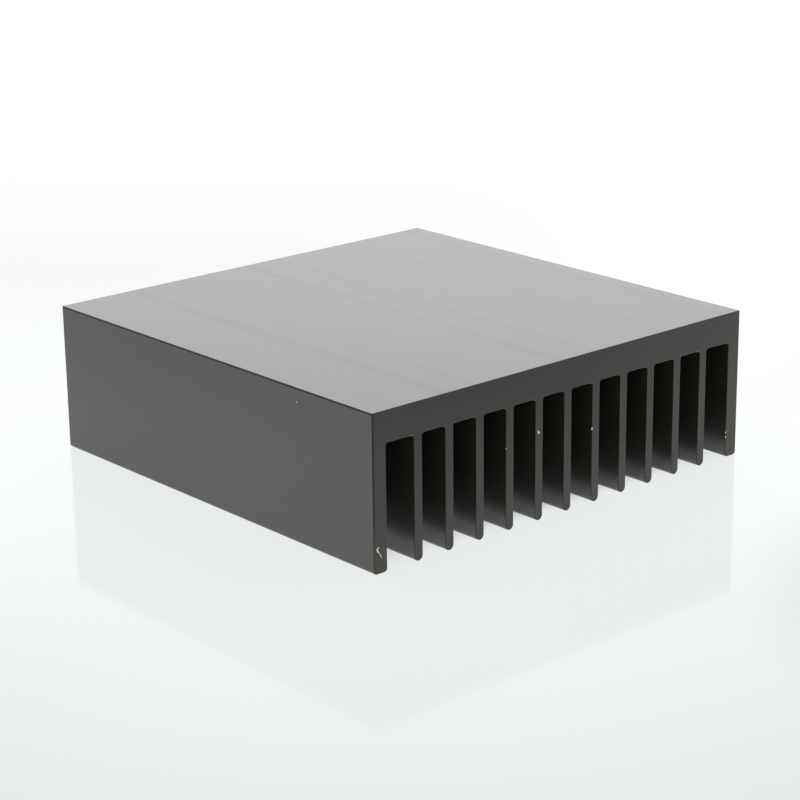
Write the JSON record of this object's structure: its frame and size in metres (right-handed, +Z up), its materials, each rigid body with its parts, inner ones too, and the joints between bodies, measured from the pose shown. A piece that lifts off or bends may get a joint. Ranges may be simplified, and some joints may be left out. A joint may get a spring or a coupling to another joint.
{
  "type": "heat sink",
  "caption": "Flat square extruded heat sink with a plain mounting face on one side and straight parallel cooling fins on the other.",
  "frame": {"origin": "on the ground under the middle of the base, in the plane of the fin tips", "axes": "+Z up, out of the flat mounting face; Y along the fins; X across the fins"},
  "size_m": [0.1, 0.1, 0.0313],
  "materials": {
    "black_anodised": "satin black anodised"
  },
  "bodies": {
    "root": {"heat_sink": "black_anodised"}
  },
  "joints": []
}
